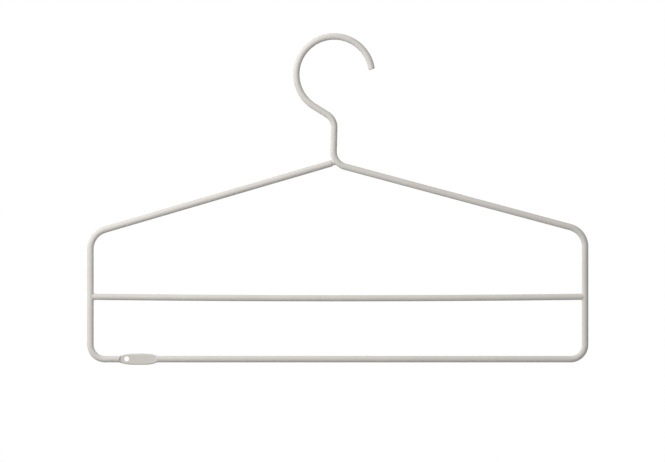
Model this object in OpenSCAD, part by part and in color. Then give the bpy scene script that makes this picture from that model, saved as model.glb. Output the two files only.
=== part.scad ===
// Trouser hanger: a round steel rod bent in one plane into hook, neck, shoulders,
// sides and bottom, closed by a weld at the neck, with a trouser bar welded across.
// Everything lies in the XZ plane: +X is right, +Z is up and the front faces -Y.
// The origin is the highest point of the hook's inside, where it sits on a rail.

/* [Rods] */
// Diameter of the bent rod, coating included
rod_d = 5.2; // [5.1:0.1:7]
// Diameter of the trouser bar, coating included
bar_d = 5.0; // [3:0.1:5.1]

/* [Hook] */
// Inner radius of the hook
hook_inner_r = 27.6; // [18:0.1:36]
// Height angle of the hook's tip, seen from the hook's centre
hook_tip_angle = 7.6; // [-20:0.1:60]
// Slope below level of the straight run under the hook
hook_exit_slope = 31.9; // [26:0.1:45]
// Centreline radius of the reverse bend into the neck
reverse_bend_r = 11.9; // [6:0.1:15]

/* [Neck] */
// Distance right of the seat at which the neck starts
neck_top_x = 0.3; // [-4:0.1:6]
// Distance right of the seat at which the neck ends
neck_foot_x = -0.7; // [-6:0.1:6]
// Depth below the seat of the corner where the neck meets the right shoulder
neck_foot_depth = 98.8; // [92:0.1:120]
// Centreline radius of the bend from the neck into the right shoulder
neck_bend_r = 12.5; // [6:0.1:18]

/* [Frame] */
// Overall width, outside the side runs
frame_w = 400; // [340:1:460]
// Distance from the hook's seat to the frame's middle
frame_shift = 2.9; // [-10:0.1:10]
// Depth of the frame's underside below the seat
frame_depth = 257.5; // [245:0.1:300]
// Height of the left shoulder's corner above the bottom run
left_corner_h = 100; // [85:0.1:115]
// Height of the right shoulder's corner above the bottom run
right_corner_h = 102.2; // [85:0.1:115]
// Centreline radius of the bends at the shoulders' outer ends
shoulder_bend_r = 16.2; // [8:0.1:24]
// Centreline radius of the bends at the bottom
bottom_bend_r = 11.7; // [6:0.1:20]
// Height above the neck's corner at which the left shoulder points
left_shoulder_aim = 0.6; // [0:0.1:1.5]

/* [Trouser bar] */
// Height of the trouser bar above the bottom run, centre to centre
bar_h = 49.2; // [36:0.1:62]

/* [Tag] */
// Length of the tag pressed flat in the bottom run
tag_l = 30.2; // [22:0.1:40]
// Width of the tag at its middle
tag_w = 9.0; // [7.8:0.1:12]
// Width at which the tag's bulging sides end
tag_end_w = 6.3; // [5.2:0.1:7.5]
// Thickness of the tag
tag_t = 2.1; // [1.4:0.1:3]
// Length of the sloping step at each end of the flat
tag_ramp = 0.9; // [0.6:0.1:2.5]
// Distance of the tag's left end from the left side run's centre
tag_inset = 23.0; // [23:0.1:60]
// Diameter of the hole in the tag
tag_hole_d = 4.0; // [2:0.1:5]
// Distance of the hole's centre from the tag's left end
tag_hole_inset = 5.9; // [5:0.1:9]
// Height of the hole's centre above the tag's middle line
tag_hole_rise = 0.3; // [-0.8:0.1:0.8]

/* [Welds] */
// Length of weld metal between the left shoulder's end and the neck
neck_weld_gap = 1.8; // [1:0.1:2.5]
// How far the neck weld lies under the rod's surface
neck_weld_sink = 0.45; // [0.2:0.05:0.8]
// Leg of the weld fillets above and below the trouser bar
bar_weld_leg = 0.8; // [0.4:0.1:1.5]
// Width of those fillets from front to back
bar_weld_w = 2.4; // [1.5:0.1:3]

/* [Hidden] */
$fn = 96;
COAT = [0.84, 0.82, 0.79];
BAR_COAT = [0.80, 0.78, 0.75];
WELD_COAT = [0.70, 0.68, 0.66];

// Radii of the rod, the bar and the hook's centreline
rod_r = rod_d / 2;
bar_r = bar_d / 2;
hook_r = hook_inner_r + rod_r;

// Centrelines of the frame's straight runs
left_x = frame_shift - frame_w / 2 + rod_r;
right_x = frame_shift + frame_w / 2 - rod_r;
bottom_z = rod_r - frame_depth;
bar_z = bottom_z + bar_h;

// Points of the rod's route as [x, z]: the hook's arc, then the corners before their bends are rounded
hook_centre = [0, -hook_inner_r];
hook_exit_angle = 270 - hook_exit_slope;
hook_exit = hook_centre + hook_r * heading(hook_exit_angle);
neck_top = [neck_top_x, hook_exit[1] - (neck_top_x - hook_exit[0]) * tan(hook_exit_slope)];
neck_foot = [neck_foot_x, -neck_foot_depth];
right_corner = [right_x, bottom_z + right_corner_h];
bottom_right = [right_x, bottom_z];
bottom_left = [left_x, bottom_z];
left_corner = [left_x, bottom_z + left_corner_h];
left_aim = neck_foot + [0, left_shoulder_aim];

// Each bend as [corner, point before it, point after it, centreline radius]
reverse_bend = [neck_top, hook_exit, neck_foot, reverse_bend_r];
neck_bend = [neck_foot, neck_top, right_corner, neck_bend_r];
right_shoulder_bend = [right_corner, neck_foot, bottom_right, shoulder_bend_r];
bottom_right_bend = [bottom_right, right_corner, bottom_left, bottom_bend_r];
bottom_left_bend = [bottom_left, bottom_right, left_corner, bottom_bend_r];
left_shoulder_bend = [left_corner, bottom_left, left_aim, shoulder_bend_r];

// The left shoulder's blunt end: back from where its line enters the neck bend
left_line = unit(left_aim - left_corner);
to_neck_centre = bend_centre(neck_bend) - left_corner;
neck_reach = to_neck_centre * left_line
    - sqrt(pow(neck_bend_r + rod_r, 2) - pow(cross(to_neck_centre, left_line), 2));
left_end = left_corner + (neck_reach - neck_weld_gap) * left_line;

// Where each shoulder's straight run is divided from its outer corner
corner_stub = 10;
right_joint = bend_start(right_shoulder_bend) - corner_stub * unit(right_corner - neck_foot);
left_joint = bend_end(left_shoulder_bend) + corner_stub * left_line;

// The tag: where its node ends, the radius of its bulging sides and of its rounded ends
tag_stub = tag_ramp + 1;
tag_centre = [left_x + tag_inset + tag_l / 2, bottom_z];
tag_left = tag_centre - [tag_l / 2 + tag_stub, 0];
tag_right = tag_centre + [tag_l / 2 + tag_stub, 0];
tag_bulge = (tag_w - tag_end_w) / 2;
tag_side_r = (pow(tag_l / 2, 2) + pow(tag_bulge, 2)) / (2 * tag_bulge);
tag_end_r = tag_w / 2;

// Overlap that makes a cutting shape pass a face cleanly
OVER = 1;

// Direction of an angle, in the hanger's plane
function heading(a) = [cos(a), sin(a)];
// Vector of length 1
function unit(v) = v / norm(v);
// Half of the angle between a bend's two runs
function half_angle(b) = acos(unit(b[1] - b[0]) * unit(b[2] - b[0])) / 2;
// Distance from the corner to where the bend starts
function setback(b) = b[3] / tan(half_angle(b));
// Where a bend starts, where it ends, and its centre
function bend_start(b) = b[0] + setback(b) * unit(b[1] - b[0]);
function bend_end(b) = b[0] + setback(b) * unit(b[2] - b[0]);
function bend_centre(b) = b[0]
    + b[3] / sin(half_angle(b)) * unit(unit(b[1] - b[0]) + unit(b[2] - b[0]));
// Radius of a bend and how far it turns, positive to the left of the way
function curl_of(b) = [b[3], turn(b[0] - b[1], b[2] - b[0])];
// Angle of a vector, and the signed turn from one vector to another
function angle_of(v) = atan2(v[1], v[0]);
function turn(v, w) = atan2(cross(v, w), v * w);

// Put a shape drawn in XY into the hanger's plane, at a point
module in_plane(at) {
    translate([at[0], 0, at[1]]) rotate([90, 0, 0]) children();
}

// Frame of a straight run: +Z goes from a to b, and +X is to the right of the way
module along(a, b) {
    translate([a[0], 0, a[1]]) rotate([0, 90 - angle_of(b - a), 0]) children();
}

// Round rod that starts at the origin and bends away from +Z; a positive sweep goes to the left
module curl(r, sweep) {
    mirror([sweep < 0 ? 1 : 0, 0, 0]) translate([-r, 0, 0]) rotate([90, 0, 0])
        rotate_extrude(angle = abs(sweep)) translate([r, 0]) circle(d = rod_d);
}

// Straight rod between two points
module run(a, b, d = rod_d) {
    along(a, b) cylinder(d = d, h = norm(b - a));
}

// Straight rod that comes out of a bend, goes on into a bend, or both
module bent_run(a, b, before, after) {
    along(a, b) {
        cylinder(d = rod_d, h = norm(b - a));
        if (before) mirror([0, 0, 1]) curl(before[0], before[1]);
        if (after) translate([0, 0, norm(b - a)]) curl(after[0], after[1]);
    }
}

// Hook from its cut tip to the end of the reverse bend
module hook() {
    color(COAT) bent_run(hook_exit, bend_start(reverse_bend),
        before = [hook_r, hook_exit_angle - hook_tip_angle], after = curl_of(reverse_bend));
}

// Neck and its bend into the right shoulder
module neck() {
    color(COAT) bent_run(bend_end(reverse_bend), bend_start(neck_bend), after = curl_of(neck_bend));
}

// Right shoulder, straight from the neck bend to near its outer corner
module right_shoulder() {
    color(COAT) run(bend_end(neck_bend), right_joint);
}

// Corner between the right shoulder and the right side
module right_shoulder_corner() {
    color(COAT) bent_run(right_joint, bend_start(right_shoulder_bend),
        after = curl_of(right_shoulder_bend));
}

// Right side and the corner below it
module right_side() {
    color(COAT) bent_run(bend_end(right_shoulder_bend), bend_start(bottom_right_bend),
        after = curl_of(bottom_right_bend));
}

// Bottom run from the right corner to the tag
module bottom_bar() {
    color(COAT) run(bend_end(bottom_right_bend), tag_right);
}

// Bottom run left of the tag, the corner, and the left side
module left_side() {
    color(COAT) {
        run(tag_left, bend_start(bottom_left_bend));
        bent_run(bend_end(bottom_left_bend), bend_start(left_shoulder_bend),
            before = curl_of(bottom_left_bend));
    }
}

// Corner between the left side and the left shoulder
module left_shoulder_corner() {
    color(COAT) bent_run(bend_end(left_shoulder_bend), left_joint, before = curl_of(left_shoulder_bend));
}

// Left shoulder, straight from near its outer corner to its blunt end beside the neck
module left_shoulder() {
    color(COAT) run(left_joint, left_end);
}

// Outline of the tag: bulging sides and round ends
module tag_outline() {
    intersection() {
        translate([0, tag_side_r - tag_w / 2]) circle(r = tag_side_r, $fn = 360);
        translate([0, tag_w / 2 - tag_side_r]) circle(r = tag_side_r, $fn = 360);
        union() {
            square([tag_l - 2 * tag_end_r, 2 * tag_w], center = true);
            for (side = [-1, 1]) translate([side * (tag_l / 2 - tag_end_r), 0]) circle(r = tag_end_r);
        }
    }
}

// Space that the press leaves in front of the tag, with sloping ends; drawn along +Z from the flat
module press_space() {
    depth = rod_r - tag_t / 2;
    slope = tag_ramp / depth;
    height = depth + OVER;
    flat_l = tag_l - 2 * tag_ramp;
    for (side = [-1, 1]) translate([side * (flat_l / 2 - tag_end_r), 0, 0])
        cylinder(r1 = tag_end_r, r2 = tag_end_r + slope * height, h = height);
    translate([0, 0, height / 2]) cube([flat_l - 2 * tag_end_r, rod_d + OVER, height], center = true);
}

// Tag: the rod pressed flat, with a hole near its left end
module tag() {
    color(COAT) difference() {
        union() {
            in_plane(tag_centre) linear_extrude(tag_t, center = true) tag_outline();
            difference() {
                run(tag_left, tag_right);
                for (face = [0, 1]) in_plane(tag_centre) mirror([0, 0, face])
                    translate([0, 0, tag_t / 2]) press_space();
            }
        }
        in_plane(tag_centre) translate([tag_hole_inset - tag_l / 2, tag_hole_rise, 0])
            cylinder(d = tag_hole_d, h = tag_t + 2 * OVER, center = true);
    }
}

// Weld metal between the left shoulder's blunt end and the neck bend
module neck_weld() {
    color(WELD_COAT) difference() {
        run(left_end, left_end + (neck_weld_gap + rod_r) * left_line, rod_d - 2 * neck_weld_sink);
        along(bend_start(neck_bend), neck_foot) curl(neck_bend[3], curl_of(neck_bend)[1]);
    }
}

// Trouser bar, its ends shaped to the side runs
module trouser_bar() {
    color(BAR_COAT) difference() {
        run([left_x, bar_z], [right_x, bar_z], bar_d);
        side_runs();
    }
}

// Both side runs, as cutting shapes
module side_runs() {
    run(bottom_left, left_corner);
    run(bottom_right, right_corner);
}

// Weld fillets above and below the bar; inward is 1 at the left side run and -1 at the right
module bar_weld(x, inward) {
    reach = rod_r + bar_r + bar_weld_leg;
    color(WELD_COAT) difference() {
        in_plane([x, bar_z]) for (up = [-1, 1]) linear_extrude(bar_weld_w, center = true)
            polygon([[0, 0], [inward * reach, 0], [0, up * reach]]);
        side_runs();
        run([left_x, bar_z], [right_x, bar_z], bar_d);
    }
}

module left_bar_weld() {
    bar_weld(left_x, 1);
}

module right_bar_weld() {
    bar_weld(right_x, -1);
}

hook();
neck();
right_shoulder();
right_shoulder_corner();
right_side();
bottom_bar();
tag();
left_side();
left_shoulder_corner();
left_shoulder();
neck_weld();
trouser_bar();
left_bar_weld();
right_bar_weld();
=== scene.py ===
# Looks of the trouser hanger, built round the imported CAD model.
# Metres. +X is right, +Z is up and the front faces -Y. The origin is the hook's seat.

import math

import bpy
import numpy as np
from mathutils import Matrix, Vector


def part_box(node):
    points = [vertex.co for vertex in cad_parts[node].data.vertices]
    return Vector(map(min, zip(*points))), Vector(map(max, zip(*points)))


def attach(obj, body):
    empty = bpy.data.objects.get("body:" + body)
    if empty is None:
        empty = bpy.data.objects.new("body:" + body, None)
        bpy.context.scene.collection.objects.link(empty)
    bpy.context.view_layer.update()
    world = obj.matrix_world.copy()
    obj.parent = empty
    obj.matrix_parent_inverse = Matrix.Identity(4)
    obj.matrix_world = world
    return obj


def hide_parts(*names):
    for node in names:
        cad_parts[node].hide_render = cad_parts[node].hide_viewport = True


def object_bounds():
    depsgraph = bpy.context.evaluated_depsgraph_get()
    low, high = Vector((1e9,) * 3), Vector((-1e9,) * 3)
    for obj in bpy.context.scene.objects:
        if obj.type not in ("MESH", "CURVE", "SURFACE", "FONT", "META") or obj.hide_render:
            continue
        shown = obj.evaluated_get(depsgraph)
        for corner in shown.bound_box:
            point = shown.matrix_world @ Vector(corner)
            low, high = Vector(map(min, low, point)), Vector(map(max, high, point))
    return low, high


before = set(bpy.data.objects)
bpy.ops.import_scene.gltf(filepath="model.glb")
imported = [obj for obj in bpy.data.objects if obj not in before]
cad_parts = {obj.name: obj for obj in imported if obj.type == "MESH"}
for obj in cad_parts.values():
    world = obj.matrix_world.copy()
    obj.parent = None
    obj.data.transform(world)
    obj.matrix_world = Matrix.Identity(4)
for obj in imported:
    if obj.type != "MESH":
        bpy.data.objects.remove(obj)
cad_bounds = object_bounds()

MM = 0.001
X, Y, Z = 0, 1, 2

# Photograph: its size, the size of a pixel at the hanger, and the pixel of the hook's seat,
# counted from the middle of the top left pixel
PHOTO_W, PHOTO_H = 665, 462
PIXEL = 0.798 * MM
SEAT_PX = (333.62, 39.24)

# Camera: how far in front of the hanger it stands, its sensor's width in millimetres, and how far
# it sees
CAMERA_DISTANCE = 3.0
SENSOR_W = 36.0
CAMERA_RANGE = 50

# Route of the rod, as in the CAD source: the hook's tip and slope, the neck, the bends' radii, the
# corners' heights above the bottom run, how far above the neck's foot the left shoulder aims, the gap
# that the neck weld fills, and the straight stub on each shoulder's corner
HOOK_TIP_ANGLE = math.radians(7.6)
HOOK_EXIT_SLOPE = math.radians(31.9)
REVERSE_BEND_R = 11.9 * MM
NECK_TOP_X = 0.3 * MM
NECK_FOOT = np.array([-0.7, -98.8]) * MM
NECK_BEND_R = 12.5 * MM
SHOULDER_BEND_R = 16.2 * MM
LEFT_CORNER_H = 100 * MM
RIGHT_CORNER_H = 102.2 * MM
LEFT_SHOULDER_AIM = 0.6 * MM
NECK_WELD_GAP = 1.8 * MM
CORNER_STUB = 10 * MM

# Cut ends: how far the hook's cut leans from square, and the radius of the worn edge on the hook's
# tip, on the left shoulder's blunt end, and on the trouser bar's ends at the front and back
TIP_LEAN = math.radians(10)
TIP_EDGE_R = 0.55 * MM
BUTT_EDGE_R = 0.7 * MM
BAR_EDGE_R = 0.2 * MM

# Trouser bar's welds: radius of the hollow above and below the bar, and in its crease at the front
# and back
BAR_WELD_R = 1.0 * MM
BAR_CREASE_R = 0.06 * MM

# Neck weld: radius of the hollow beside the neck, and how far the weld lies under the rod's skin at
# the front and back, above, and below
NECK_WELD_R = 0.6 * MM
NECK_WELD_SINK = 0.75 * MM
NECK_WELD_TOP_SINK = 0.15 * MM
NECK_WELD_UNDER_SINK = 0.5 * MM

# Where the welds close, inside the metal: how far each goes into the rod that it sits on, how far the
# neck weld goes into the shoulder's end, and the share of its width that a weld closes to in that rod,
# in the trouser bar and in the shoulder's end
BAR_WELD_ROOT = 0.5 * MM
NECK_WELD_ROOT = 0.8 * MM
NECK_WELD_PLUG = 0.4 * MM
WELD_ROOT_SHARE = 0.5
BAR_WELD_HEAD_SHARE = 0.7
NECK_WELD_HEAD_SHARE = 0.6

# How far the trouser bar's middle hangs below its ends; the CAD bar is straight, halfway between
BAR_SAG = 1.2 * MM

# Tag: length, width and thickness, how full its outline stays towards each end (2 is an even arc),
# length of the step at each end, and its hole
TAG_L = 30.2 * MM
TAG_W = 9.0 * MM
TAG_T = 2.1 * MM
TAG_LEFT_FULLNESS = 3
TAG_RIGHT_FULLNESS = 4
TAG_RAMP = 0.9 * MM
TAG_HOLE_R = 2.0 * MM
TAG_HOLE_INSET = 5.9 * MM
TAG_HOLE_RISE = 0.3 * MM
TAG_HOLE_RIM_R = 0.35 * MM

# Mesh: points round a rod, the tag and the floor, the turn between rings, the length of the narrow
# strip at each end and of the wider one on the tag, and the angle from which an edge looks sharp
SIDES = 64
TAG_SIDES = 2 * SIDES
FLOOR_SIDES = 96
RING_TURN = math.radians(2.5)
EDGE_STRIP = 0.05 * MM
TAG_END_STRIP = 0.3 * MM
SHARP_ANGLE = math.radians(35)

# Rings over each worn edge, the welds' hollows and the rim of the tag's hole, rings along the trouser
# bar and the tag, and the shares of the full radius where a cut face has rings of its own
EDGE_RINGS = 7
BAR_EDGE_RINGS = 5
WELD_RINGS = 9
RIM_RINGS = 6
BAR_RINGS = 41
TAG_RINGS = 181
CUT_FACE_SHARES = (0.75, 0.5, 0.3)
BAR_FACE_SHARES = (0.7, 0.35)

# Halvings of the search for the place where a ball rests in a weld's corner
HALVINGS = 60

# Powder coat: its linear colour, the factors of its darkest and lightest shifts of tone, the grey and
# the greatest share of its flecks, its gloss, and its roughness from the smoothest to the dullest
COAT = (0.68, 0.65, 0.61)
COAT_DARKER = 0.975
COAT_LIGHTER = 1.02
COAT_FLECK = 0.95
COAT_FLECK_SHARE = 0.6
COAT_SPECULAR = 0.2
COAT_SMOOTHEST = 0.44
COAT_DULLEST = 0.54

# The middle of a noise's range, where most of its values lie
NOISE_LOW = 0.3
NOISE_HIGH = 0.7

# Light of the room: its level all round, and how much more comes from the left
ROOM_LEVEL = 0.4
ROOM_LEFT = 0.87

# Soft lamp at the upper left, in front of the hanger
KEY_POWER = 4.6
KEY_PLACE = (-0.5, -0.6, 0.3)
KEY_SIZE = 0.5
KEY_AIM = (0, 0, -0.15)

# Floor: how far below the hanger, its radius, its grey for the light that it throws back at the hanger
# and where it is seen, and its own glow where it is seen, below the hanger and at the rim, which
# carries it up to the room's white
FLOOR_DROP = 0.25
FLOOR_R = 2.2
FLOOR_BOUNCE_GREY = 0.45
FLOOR_SEEN_GREY = 0.95
FLOOR_GLOW = 0.2
FLOOR_RIM_GLOW = 0.48


def middle(node, axis):
    """Middle of a CAD node's box along an axis."""
    lo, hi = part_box(node)
    return (lo[axis] + hi[axis]) / 2


def half(node, axis):
    """Half of a CAD node's size along an axis."""
    lo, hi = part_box(node)
    return (hi[axis] - lo[axis]) / 2


# Radii and centrelines that the frame gives
ROD_R = cad_bounds[1][Y]
BAR_R = half("trouser_bar", Y)
LEFT_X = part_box("left_side")[0][X] + ROD_R
RIGHT_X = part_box("right_side")[1][X] - ROD_R
BOTTOM_Z = middle("bottom_bar", Z)
BAR_END_Z = middle("trouser_bar", Z) + BAR_SAG / 2
BOTTOM_BEND_R = RIGHT_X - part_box("bottom_bar")[1][X]
HOOK_R = -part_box("hook")[0][X] - ROD_R
HOOK_CENTRE = np.array([0, ROD_R - HOOK_R])


def heading(angle):
    """Unit vector of an angle, in the hanger's plane."""
    return np.array([math.cos(angle), math.sin(angle)])


def unit(v):
    """Vector of length 1 in the direction of v."""
    return v / np.linalg.norm(v)


def angle_of(v):
    """Angle of a vector in the hanger's plane."""
    return math.atan2(v[1], v[0])


def angles_round(count):
    """Angles of points spaced evenly round a circle."""
    return np.linspace(0, 2 * math.pi, count, endpoint=False)


def points_at(x, y, z):
    """Rows of points from their coordinates; a single number holds for all of them."""
    return np.stack(np.broadcast_arrays(x, y, z), axis=1)


# Angles of the points round a rod: their cosines give the places sideways and their sines the depths
TURNS = angles_round(SIDES)


class Bend:
    """A rounded corner of the route: where it starts, where it ends, its centre and how far it turns."""

    def __init__(self, before, corner, after, radius):
        back, on = unit(before - corner), unit(after - corner)
        half_angle = math.acos(np.dot(back, on)) / 2
        setback = radius / math.tan(half_angle)
        self.start = corner + setback * back
        self.end = corner + setback * on
        self.centre = corner + radius / math.sin(half_angle) * unit(back + on)
        cross = back[1] * on[0] - back[0] * on[1]
        self.turn = math.copysign(math.pi - 2 * half_angle, cross)


def arc_stations(centre, start, turn):
    """Stations [x, z, heading] along an arc that begins at start and turns by turn."""
    arm = start - centre
    count = max(2, math.ceil(abs(turn) / RING_TURN) + 1)
    side = math.copysign(math.pi / 2, turn)
    rows = []
    for share in np.linspace(0, 1, count):
        angle = angle_of(arm) + turn * share
        rows.append([*(centre + np.linalg.norm(arm) * heading(angle)), angle + side])
    return rows


def run_stations(a, b):
    """Stations at both ends of a straight run."""
    return [[*a, angle_of(b - a)], [*b, angle_of(b - a)]]


def bend_stations(bend):
    """Stations along a bend of the route."""
    return arc_stations(bend.centre, bend.start, bend.turn)


def joined(*parts):
    """Stations of several stretches in a row, each shared station once, with a short strip at both ends."""
    rows = list(parts[0])
    for part in parts[1:]:
        rows += part[1:]
    first, last = np.array(rows[0]), np.array(rows[-1])
    rows.insert(1, [*(first[:2] + EDGE_STRIP * heading(first[2])), first[2]])
    rows.insert(-1, [*(last[:2] - EDGE_STRIP * heading(last[2])), last[2]])
    return rows


def ring(station, radius, ahead=0.0, lean=0.0):
    """Ring of points round a station, moved ahead along the rod; lean tips its outer side ahead."""
    x, z, angle = station
    along, left = heading(angle), heading(angle + math.pi / 2)
    side, depth = radius * np.cos(TURNS), radius * np.sin(TURNS)
    points = np.array([x, z]) + np.outer(ahead + lean * side, along) + np.outer(side, left)
    return points_at(points[:, 0], depth, points[:, 1])


def edge_rings(station, edge_r, lean=0.0):
    """Rings that round a cut end over, from the rod's full width to a small ring on the cut face."""
    rings = []
    for angle in np.linspace(0, math.pi / 2, EDGE_RINGS):
        radius = ROD_R - edge_r * (1 - math.cos(angle))
        rings.append(ring(station, radius, edge_r * (math.sin(angle) - 1), lean))
    for share in CUT_FACE_SHARES:
        rings.append(ring(station, ROD_R * share, 0.0, lean))
    return rings


def skin(name, rings):
    """Closed mesh through rings of equal count, with a fan on each end."""
    count = len(rings[0])
    points = [tuple(p) for r in rings for p in r]
    faces = []
    for i in range(len(rings) - 1):
        for j in range(count):
            k = (j + 1) % count
            low, high = i * count, (i + 1) * count
            faces.append((low + j, high + j, high + k, low + k))
    for base, first in ((0, True), ((len(rings) - 1) * count, False)):
        points.append(tuple(np.mean(rings[0 if first else -1], axis=0)))
        hub = len(points) - 1
        for j in range(count):
            a, b = base + j, base + (j + 1) % count
            faces.append((hub, a, b) if first else (hub, b, a))
    mesh = bpy.data.meshes.new(name)
    mesh.from_pydata(points, [], faces)
    mesh.validate()
    obj = bpy.data.objects.new(name, mesh)
    bpy.context.scene.collection.objects.link(obj)
    return obj


# Route of the rod, corner by corner, then rounded
hook_exit_angle = math.radians(270) - HOOK_EXIT_SLOPE
hook_exit = HOOK_CENTRE + HOOK_R * heading(hook_exit_angle)
hook_tip = HOOK_CENTRE + HOOK_R * heading(HOOK_TIP_ANGLE)
neck_top = np.array([NECK_TOP_X, hook_exit[1] - (NECK_TOP_X - hook_exit[0]) * math.tan(HOOK_EXIT_SLOPE)])
right_corner = np.array([RIGHT_X, BOTTOM_Z + RIGHT_CORNER_H])
bottom_right = np.array([RIGHT_X, BOTTOM_Z])
bottom_left = np.array([LEFT_X, BOTTOM_Z])
left_corner = np.array([LEFT_X, BOTTOM_Z + LEFT_CORNER_H])
left_aim = NECK_FOOT + np.array([0, LEFT_SHOULDER_AIM])

reverse_bend = Bend(hook_exit, neck_top, NECK_FOOT, REVERSE_BEND_R)
neck_bend = Bend(neck_top, NECK_FOOT, right_corner, NECK_BEND_R)
right_shoulder_bend = Bend(NECK_FOOT, right_corner, bottom_right, SHOULDER_BEND_R)
bottom_right_bend = Bend(right_corner, bottom_right, bottom_left, BOTTOM_BEND_R)
bottom_left_bend = Bend(bottom_right, bottom_left, left_corner, BOTTOM_BEND_R)
left_shoulder_bend = Bend(bottom_left, left_corner, left_aim, SHOULDER_BEND_R)

# The left shoulder's blunt end, back from where its line enters the neck bend
left_line = unit(left_aim - left_corner)
to_neck_centre = neck_bend.centre - left_corner
miss = to_neck_centre[0] * left_line[1] - to_neck_centre[1] * left_line[0]
neck_reach = np.dot(to_neck_centre, left_line) - math.sqrt((NECK_BEND_R + ROD_R) ** 2 - miss**2)
left_end = left_corner + (neck_reach - NECK_WELD_GAP) * left_line

# Where each shoulder's straight run is divided from its outer corner
right_joint = right_shoulder_bend.start - CORNER_STUB * unit(right_corner - NECK_FOOT)
left_joint = left_shoulder_bend.end + CORNER_STUB * left_line

# Where the tag is divided from the left side and the bottom run
tag_left, tag_right = (np.array([corner[X], BOTTOM_Z]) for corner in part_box("tag"))


def grey(level):
    """Opaque grey of a linear level."""
    return (level, level, level, 1)


def noise(nodes, links, coords, scale, detail, roughness):
    """Noise texture on the object's own coordinates."""
    node = nodes.new("ShaderNodeTexNoise")
    node.inputs["Scale"].default_value = scale
    node.inputs["Detail"].default_value = detail
    node.inputs["Roughness"].default_value = roughness
    links.new(coords.outputs["Object"], node.inputs["Vector"])
    return node


def ranged(nodes, links, source, low, high):
    """Output that maps the middle of a noise's range onto low to high."""
    node = nodes.new("ShaderNodeMapRange")
    node.inputs["From Min"].default_value = NOISE_LOW
    node.inputs["From Max"].default_value = NOISE_HIGH
    node.inputs["To Min"].default_value = low
    node.inputs["To Max"].default_value = high
    links.new(source.outputs["Fac"], node.inputs["Value"])
    return node.outputs["Result"]


def colour_mix(nodes, blend_type="MIX"):
    """Mix node for colours."""
    node = nodes.new("ShaderNodeMix")
    node.data_type = "RGBA"
    node.blend_type = blend_type
    return node


def bump(nodes, links, source, depth):
    """Bump node whose relief is a noise, so many metres deep."""
    node = nodes.new("ShaderNodeBump")
    node.inputs["Strength"].default_value = 1.0
    node.inputs["Distance"].default_value = depth
    links.new(source.outputs["Fac"], node.inputs["Height"])
    return node


def powder_coat(name, grain_depth, ripple_depth):
    """Satin powder coat: faint shifts of tone, fine orange-peel grain, and slow ripples under it."""
    material = bpy.data.materials.new(name)
    material.use_nodes = True
    nodes, links = material.node_tree.nodes, material.node_tree.links
    shader = nodes["Principled BSDF"]
    shader.inputs["Specular IOR Level"].default_value = COAT_SPECULAR
    coords = nodes.new("ShaderNodeTexCoord")
    drift = noise(nodes, links, coords, scale=35, detail=3, roughness=0.5)
    speckle = noise(nodes, links, coords, scale=2600, detail=2, roughness=0.6)
    grain = noise(nodes, links, coords, scale=1500, detail=2, roughness=0.5)
    ripple = noise(nodes, links, coords, scale=260, detail=1, roughness=0.4)

    tone = colour_mix(nodes)
    tone.inputs["A"].default_value = (*[c * COAT_DARKER for c in COAT], 1)
    tone.inputs["B"].default_value = (*[c * COAT_LIGHTER for c in COAT], 1)
    links.new(ranged(nodes, links, drift, 0, 1), tone.inputs["Factor"])
    fleck = colour_mix(nodes, "MULTIPLY")
    fleck.inputs["B"].default_value = grey(COAT_FLECK)
    links.new(ranged(nodes, links, speckle, 0, COAT_FLECK_SHARE), fleck.inputs["Factor"])
    links.new(tone.outputs["Result"], fleck.inputs["A"])
    links.new(fleck.outputs["Result"], shader.inputs["Base Color"])

    roughness = ranged(nodes, links, drift, COAT_SMOOTHEST, COAT_DULLEST)
    links.new(roughness, shader.inputs["Roughness"])

    slow = bump(nodes, links, ripple, ripple_depth)
    fine = bump(nodes, links, grain, grain_depth)
    links.new(slow.outputs["Normal"], fine.inputs["Normal"])
    links.new(fine.outputs["Normal"], shader.inputs["Normal"])
    return material


# Coat of each material slot
coats = {
    "coated_rod": powder_coat("powder_coat_rod", grain_depth=0.015 * MM, ripple_depth=0.012 * MM),
    "coated_tag": powder_coat("powder_coat_tag", grain_depth=0.015 * MM, ripple_depth=0.04 * MM),
    "coated_weld": powder_coat("powder_coat_weld", grain_depth=0.02 * MM, ripple_depth=0.1 * MM),
}


def dress(obj, slot, *nodes):
    """Smooths a piece, gives it the coat of its slot, hides its CAD nodes, and lets it ride with the root
    body.
    """
    obj.data.shade_smooth()
    obj.data.set_sharp_from_angle(angle=SHARP_ANGLE)
    obj.data.materials.clear()
    obj.data.materials.append(coats[slot])
    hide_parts(*nodes)
    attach(obj, "root")


def add_stretch(node, *parts):
    """Adds a plain stretch of the rod, which its neighbours touch face to face."""
    piece = skin("coated_" + node, [ring(s, ROD_R) for s in joined(*parts)])
    dress(piece, "coated_rod", node)


def hook_piece():
    """Hook: a leaning cut at the tip, the round of the hook, and the reverse bend."""
    turn = hook_exit_angle - HOOK_TIP_ANGLE
    route = joined(arc_stations(HOOK_CENTRE, hook_tip, turn),
                   run_stations(hook_exit, reverse_bend.start), bend_stations(reverse_bend))
    tip = np.array(route[0]) + np.array([0, 0, math.pi])
    ends = edge_rings(tip, TIP_EDGE_R, lean=-math.tan(TIP_LEAN))
    # The tip looks back along the route, so its rings run the other way round
    ends = [np.roll(r[::-1], 1 + SIDES // 2, axis=0) for r in reversed(ends)]
    # The worn edge takes the place of the route's first strip
    body = [ring(s, ROD_R) for s in route[2:]]
    return skin("coated_hook", ends + body)


def left_shoulder_piece():
    """Left shoulder: its straight run, and the blunt end beside the neck."""
    route = joined(run_stations(left_joint, left_end))
    # The worn edge takes the place of the route's last strip
    body = [ring(s, ROD_R) for s in route[:-2]]
    return skin("coated_left_shoulder", body + edge_rings(route[-1], BUTT_EDGE_R))


def cope_reach(depth):
    """How far a side run's skin lies from its centreline, sideways, at a depth."""
    return np.sqrt(ROD_R**2 - depth**2)


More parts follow.
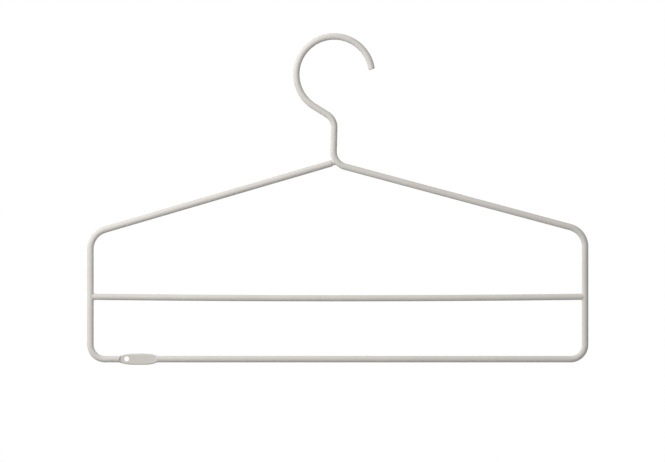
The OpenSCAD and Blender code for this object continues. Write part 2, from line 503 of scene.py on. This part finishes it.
def coped_rings(x_rod, inward):
    """Rings that shape a bar's end to the round side run, its edge worn round at the front and back."""
    worn = BAR_EDGE_R * np.sin(TURNS) ** 2
    skin_reach = cope_reach((BAR_R - worn) * np.sin(TURNS))
    rings = []
    for angle in np.linspace(0, math.pi / 2, BAR_EDGE_RINGS):
        radius = BAR_R - worn * (1 - math.cos(angle))
        reach = skin_reach + worn * (1 - math.sin(angle))
        up, depth = radius * np.cos(TURNS), radius * np.sin(TURNS)
        rings.append(points_at(x_rod + inward * reach, depth, BAR_END_Z + up))
    for share in BAR_FACE_SHARES:
        up, depth = BAR_R * share * np.cos(TURNS), BAR_R * share * np.sin(TURNS)
        rings.append(points_at(x_rod + inward * cope_reach(depth), depth, BAR_END_Z + up))
    return rings


def trouser_bar_piece():
    """Trouser bar: a straight rod that sags a little, its ends shaped to the side runs."""
    left, right = LEFT_X + ROD_R + EDGE_STRIP, RIGHT_X - ROD_R - EDGE_STRIP
    centre, reach = (left + right) / 2, (right - left) / 2
    body = []
    for x in np.linspace(left, right, BAR_RINGS):
        share = (x - centre) / reach
        station = [x, BAR_END_Z - BAR_SAG * (1 - share**2), 2 * BAR_SAG * share / reach]
        body.append(ring(station, BAR_R))
    start = coped_rings(LEFT_X, 1)[::-1]
    end = coped_rings(RIGHT_X, -1)
    return skin("coated_trouser_bar", start + body + end)


def line_nearest(point, direction):
    """Function that gives the nearest place on a straight centreline."""
    def nearest(p):
        return point + np.outer((p - point) @ direction, direction)
    return nearest


def arc_nearest(centre, radius):
    """Function that gives the nearest place on a round centreline in the hanger's plane."""
    hub = np.array([centre[0], 0, centre[1]])

    def nearest(p):
        flat = (p - hub) * np.array([1, 0, 1])
        return hub + radius * flat / np.linalg.norm(flat, axis=1)[:, None]
    return nearest


def collar_rings(start, along, furthest, stub_r, nearest, ball_r):
    """Rings of the hollow that a ball leaves as it rolls in the corner between a stub and a rod.

    The stub's line begins at start and goes along towards the rod, whose centreline nearest() gives
    and lies about furthest away. ball_r holds the ball's radius at each point round the stub.
    """
    up = np.array([-along[2], 0, along[0]])
    out = np.outer(np.cos(TURNS), up) + np.outer(np.sin(TURNS), [0, 1, 0])
    low, high = np.zeros(SIDES), np.full(SIDES, furthest)
    for _ in range(HALVINGS):
        reach = (low + high) / 2
        ball = start + np.outer(reach, along) + out * (stub_r + ball_r)[:, None]
        gap = np.linalg.norm(ball - nearest(ball), axis=1) - (ROD_R + ball_r)
        low, high = np.where(gap > 0, reach, low), np.where(gap > 0, high, reach)
    to_stub = -out
    to_rod = nearest(ball) - ball
    to_rod /= np.linalg.norm(to_rod, axis=1)[:, None]
    spread = np.arccos(np.clip(np.sum(to_stub * to_rod, axis=1), -1, 1))[:, None]
    rings = []
    for share in np.linspace(0, 1, WELD_RINGS):
        way = (np.sin((1 - share) * spread) * to_stub + np.sin(share * spread) * to_rod) / np.sin(spread)
        rings.append(ball + ball_r[:, None] * way)
    return rings


def uneven(share, waves, phase):
    """Factors round a weld that vary by a share, in a number of waves."""
    return 1 + share * np.sin(waves * TURNS + phase)


def shrunk(points, share, shift):
    """A ring drawn towards its middle and moved, to close a weld inside the metal."""
    mid = np.mean(points, axis=0)
    return mid + (points - mid) * share + shift


def bar_weld_piece(name, x_rod, inward):
    """Weld round one end of the trouser bar: full above and below, a sunken crease at the front and back."""
    crease = np.sin(TURNS) ** 2
    stub_r = BAR_R - BAR_EDGE_R * crease
    hollow_r = BAR_WELD_R * uneven(share=0.08, waves=3, phase=1)
    ball_r = hollow_r * (1 - crease) + BAR_CREASE_R * crease
    along = np.array([-inward, 0.0, 0.0])
    # The search starts on the bar, clear of the weld
    furthest = 3 * ROD_R
    start = np.array([x_rod + inward * furthest, 0, BAR_END_Z])
    rod_line = line_nearest(np.array([x_rod, 0, BAR_END_Z]), np.array([0.0, 0.0, 1.0]))
    rings = collar_rings(start, along, furthest, stub_r, rod_line, ball_r)
    first = shrunk(rings[0], BAR_WELD_HEAD_SHARE, 0)
    last = shrunk(rings[-1], WELD_ROOT_SHARE, along * BAR_WELD_ROOT)
    return skin(name, [first] + rings + [last])


def neck_weld_piece():
    """Weld between the left shoulder's blunt end and the neck bend, sunk deepest at the front and back."""
    along = np.array([left_line[0], 0, left_line[1]])
    start = np.array([left_end[0], 0, left_end[1]])
    edge_sink = np.where(np.cos(TURNS) > 0, NECK_WELD_TOP_SINK, NECK_WELD_UNDER_SINK)
    stub_r = ROD_R - NECK_WELD_SINK + (NECK_WELD_SINK - edge_sink) * np.cos(TURNS) ** 4
    ball_r = NECK_WELD_R * uneven(share=0.15, waves=2, phase=0.5)
    bend_line = arc_nearest(neck_bend.centre, NECK_BEND_R)
    rings = collar_rings(start, along, NECK_WELD_GAP + ROD_R, stub_r, bend_line, ball_r)
    station = [*left_end, angle_of(left_line)]
    plug = [ring(station, stub_r * NECK_WELD_HEAD_SHARE, -NECK_WELD_PLUG),
            ring(station, stub_r, -NECK_WELD_PLUG)]
    last = shrunk(rings[-1], WELD_ROOT_SHARE, along * NECK_WELD_ROOT)
    return skin("coated_neck_weld", plug + rings + [last])


def tag_piece():
    """Tag: the rod pressed flat between two curved steps, with bulging sides and a drilled hole."""
    lo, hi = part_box("tag")
    mid = (lo[X] + hi[X]) / 2
    flat_half = TAG_L / 2
    edge = TAG_T / 2
    step_r = TAG_W / 2
    slope = (ROD_R - edge) / TAG_RAMP

    def half_width(x):
        """Half of the tag's width at x, from the rod's own at its ends to the full width."""
        share = np.clip(abs(x - mid) / flat_half, 0, 1)
        fullness = TAG_LEFT_FULLNESS if x < mid else TAG_RIGHT_FULLNESS
        return ROD_R + (TAG_W / 2 - ROD_R) * (1 - share**fullness)

    def outside_press(x, z):
        """How far a point lies outside the press's round-ended outline, below zero inside it."""
        centre_x = flat_half - TAG_RAMP - step_r
        over = np.maximum(abs(x - mid) - centre_x, 0)
        return np.hypot(over, z) - step_r

    def half_thickness(x, z, width):
        """Half of the tag's thickness: the round-edged plate or the rod, cut down by the press."""
        plate_d = np.clip(width - abs(z), 0, edge)
        plate = np.sqrt(np.maximum(edge**2 - (edge - plate_d) ** 2, 0))
        rod = np.sqrt(np.maximum(ROD_R**2 - np.minimum(abs(z), ROD_R) ** 2, 0))
        pressed = edge + slope * np.maximum(outside_press(x, z), 0)
        return np.minimum(np.maximum(plate, rod), np.maximum(pressed, 0))

    turns = angles_round(TAG_SIDES)
    inner = np.linspace(lo[X] + TAG_END_STRIP, hi[X] - TAG_END_STRIP, TAG_RINGS)
    rings = []
    for x in [lo[X], lo[X] + EDGE_STRIP, *inner, hi[X] - EDGE_STRIP, hi[X]]:
        width = half_width(x)
        z = width * np.cos(turns)
        y = np.sign(np.sin(turns)) * half_thickness(x, z, width)
        # The highest and lowest points lie in the middle plane
        y[[0, TAG_SIDES // 2]] = 0
        rings.append(points_at(x, y, BOTTOM_Z + z))
    tag = skin("coated_tag", rings)
    drill(tag, mid - flat_half + TAG_HOLE_INSET)
    return tag


def drill(tag, x):
    """Cuts the tag's hole at x and keeps the result as the tag's own mesh."""
    cutter = hole_cutter(x)
    cut = tag.modifiers.new("hole", "BOOLEAN")
    cut.operation = "DIFFERENCE"
    cut.solver = "EXACT"
    cut.object = cutter
    depsgraph = bpy.context.evaluated_depsgraph_get()
    tag.data = bpy.data.meshes.new_from_object(tag.evaluated_get(depsgraph))
    tag.data.name = tag.name
    tag.modifiers.clear()
    bpy.data.objects.remove(cutter)


def hole_cutter(x):
    """Round cutter for the tag's hole, flared where it meets the faces so that the rim is rounded."""
    profile = [(TAG_HOLE_R + 2 * TAG_HOLE_RIM_R, TAG_T / 2 + TAG_HOLE_RIM_R)]
    for angle in np.linspace(0, math.pi / 2, RIM_RINGS):
        profile.append((TAG_HOLE_R + TAG_HOLE_RIM_R * (1 - math.sin(angle)),
                        TAG_T / 2 - TAG_HOLE_RIM_R * (1 - math.cos(angle))))
    profile = profile + [(r, -depth) for r, depth in reversed(profile)]
    hole_z = BOTTOM_Z + TAG_HOLE_RISE
    rings = []
    for radius, depth in profile:
        rings.append(points_at(x + radius * np.cos(TURNS), -depth, hole_z + radius * np.sin(TURNS)))
    return skin("hole_cutter", rings)


def make_camera():
    """Level camera that looks along +Y, framed as the photograph is."""
    data = bpy.data.cameras.new("photo_camera")
    data.sensor_fit = "HORIZONTAL"
    data.sensor_width = SENSOR_W
    data.lens = SENSOR_W * CAMERA_DISTANCE / (PHOTO_W * PIXEL)
    data.clip_end = CAMERA_RANGE
    camera = bpy.data.objects.new("photo_camera", data)
    across = ((PHOTO_W - 1) / 2 - SEAT_PX[0]) * PIXEL
    down = ((PHOTO_H - 1) / 2 - SEAT_PX[1]) * PIXEL
    camera.location = (across, -CAMERA_DISTANCE, -down)
    camera.rotation_euler = (math.radians(90), 0, 0)
    bpy.context.scene.collection.objects.link(camera)
    bpy.context.scene.camera = camera


def math_node(nodes, operation, second=None):
    """Math node, with its second input set to a number if one is given."""
    node = nodes.new("ShaderNodeMath")
    node.operation = operation
    if second is not None:
        node.inputs[1].default_value = second
    return node


def seen_share(nodes, links):
    """Output that is 1 for rays that show the background: from the camera, a gloss or a clear pane."""
    path = nodes.new("ShaderNodeLightPath")
    seen = math_node(nodes, "MAXIMUM")
    links.new(path.outputs["Is Camera Ray"], seen.inputs[0])
    links.new(path.outputs["Is Glossy Ray"], seen.inputs[1])
    through = math_node(nodes, "MAXIMUM")
    links.new(seen.outputs["Value"], through.inputs[0])
    links.new(path.outputs["Is Transmission Ray"], through.inputs[1])
    return through.outputs["Value"]


def make_room():
    """World that lights the object softly, more from the left, and that is seen as plain white."""
    world = bpy.data.worlds.new("room")
    world.use_nodes = True
    bpy.context.scene.world = world
    nodes, links = world.node_tree.nodes, world.node_tree.links
    nodes.clear()
    coords = nodes.new("ShaderNodeTexCoord")
    split = nodes.new("ShaderNodeSeparateXYZ")
    links.new(coords.outputs["Generated"], split.inputs["Vector"])
    leftward = math_node(nodes, "MULTIPLY", -ROOM_LEFT)
    links.new(split.outputs["X"], leftward.inputs[0])
    from_left = math_node(nodes, "MAXIMUM", 0)
    links.new(leftward.outputs["Value"], from_left.inputs[0])
    level = math_node(nodes, "ADD", ROOM_LEVEL)
    links.new(from_left.outputs["Value"], level.inputs[0])
    soft = nodes.new("ShaderNodeBackground")
    soft.inputs["Color"].default_value = grey(1)
    links.new(level.outputs["Value"], soft.inputs["Strength"])

    white = nodes.new("ShaderNodeBackground")
    white.inputs["Color"].default_value = grey(1)
    white.inputs["Strength"].default_value = 1.0
    mix = nodes.new("ShaderNodeMixShader")
    links.new(seen_share(nodes, links), mix.inputs[0])
    links.new(soft.outputs["Background"], mix.inputs[1])
    links.new(white.outputs["Background"], mix.inputs[2])
    output = nodes.new("ShaderNodeOutputWorld")
    links.new(mix.outputs["Shader"], output.inputs["Surface"])


def make_key():
    """Soft lamp at the upper left, which the camera doesn't see."""
    data = bpy.data.lights.new("key", "AREA")
    data.shape = "DISK"
    data.size = KEY_SIZE
    data.energy = KEY_POWER
    key = bpy.data.objects.new("key", data)
    key.location = KEY_PLACE
    way = Vector(KEY_AIM) - Vector(KEY_PLACE)
    key.rotation_euler = way.to_track_quat("-Z", "Y").to_euler()
    key.visible_camera = False
    bpy.context.scene.collection.objects.link(key)


def floor_white():
    """White that keeps the hanger's shadow, and that glows a little where it is seen, more at the rim."""
    material = bpy.data.materials.new("floor_white")
    material.use_nodes = True
    nodes, links = material.node_tree.nodes, material.node_tree.links
    shader = nodes["Principled BSDF"]
    shader.inputs["Roughness"].default_value = 1.0
    shader.inputs["Specular IOR Level"].default_value = 0.0
    seen = seen_share(nodes, links)
    tone = colour_mix(nodes)
    tone.inputs["A"].default_value = grey(FLOOR_BOUNCE_GREY)
    tone.inputs["B"].default_value = grey(FLOOR_SEEN_GREY)
    links.new(seen, tone.inputs["Factor"])
    links.new(tone.outputs["Result"], shader.inputs["Base Color"])
    coords = nodes.new("ShaderNodeTexCoord")
    out = nodes.new("ShaderNodeVectorMath")
    out.operation = "LENGTH"
    links.new(coords.outputs["Object"], out.inputs[0])
    glow = nodes.new("ShaderNodeMapRange")
    glow.inputs["From Max"].default_value = FLOOR_R
    glow.inputs["To Min"].default_value = FLOOR_GLOW
    glow.inputs["To Max"].default_value = FLOOR_RIM_GLOW
    links.new(out.outputs["Value"], glow.inputs["Value"])
    shown = math_node(nodes, "MULTIPLY")
    links.new(glow.outputs["Result"], shown.inputs[0])
    links.new(seen, shown.inputs[1])
    shader.inputs["Emission Color"].default_value = grey(1)
    links.new(shown.outputs["Value"], shader.inputs["Emission Strength"])
    return material


def make_floor():
    """Plain white floor below the hanger."""
    points = [(FLOOR_R * math.cos(t), FLOOR_R * math.sin(t), 0) for t in angles_round(FLOOR_SIDES)]
    mesh = bpy.data.meshes.new("floor")
    mesh.from_pydata(points, [], [tuple(range(FLOOR_SIDES))])
    mesh.materials.append(floor_white())
    floor = bpy.data.objects.new("floor", mesh)
    floor.location.z = cad_bounds[0][Z] - FLOOR_DROP
    bpy.context.scene.collection.objects.link(floor)


make_camera()
make_room()
make_key()
make_floor()

# The rod from the hook's tip round to its blunt end, then the neck weld and the trouser bar
dress(hook_piece(), "coated_rod", "hook")
add_stretch("neck", run_stations(reverse_bend.end, neck_bend.start), bend_stations(neck_bend))
add_stretch("right_shoulder", run_stations(neck_bend.end, right_joint))
add_stretch("right_shoulder_corner", run_stations(right_joint, right_shoulder_bend.start),
            bend_stations(right_shoulder_bend))
add_stretch("right_side", run_stations(right_shoulder_bend.end, bottom_right_bend.start),
            bend_stations(bottom_right_bend))
add_stretch("bottom_bar", run_stations(bottom_right_bend.end, tag_right))
dress(tag_piece(), "coated_tag", "tag")
add_stretch("left_side", run_stations(tag_left, bottom_left_bend.start), bend_stations(bottom_left_bend),
            run_stations(bottom_left_bend.end, left_shoulder_bend.start))
add_stretch("left_shoulder_corner", bend_stations(left_shoulder_bend),
            run_stations(left_shoulder_bend.end, left_joint))
dress(left_shoulder_piece(), "coated_rod", "left_shoulder")
dress(neck_weld_piece(), "coated_weld", "neck_weld")
dress(trouser_bar_piece(), "coated_rod", "trouser_bar")
dress(bar_weld_piece("coated_left_bar_weld", LEFT_X, 1), "coated_weld", "left_bar_weld")
dress(bar_weld_piece("coated_right_bar_weld", RIGHT_X, -1), "coated_weld", "right_bar_weld")

bpy.context.scene.view_settings.view_transform = "Standard"
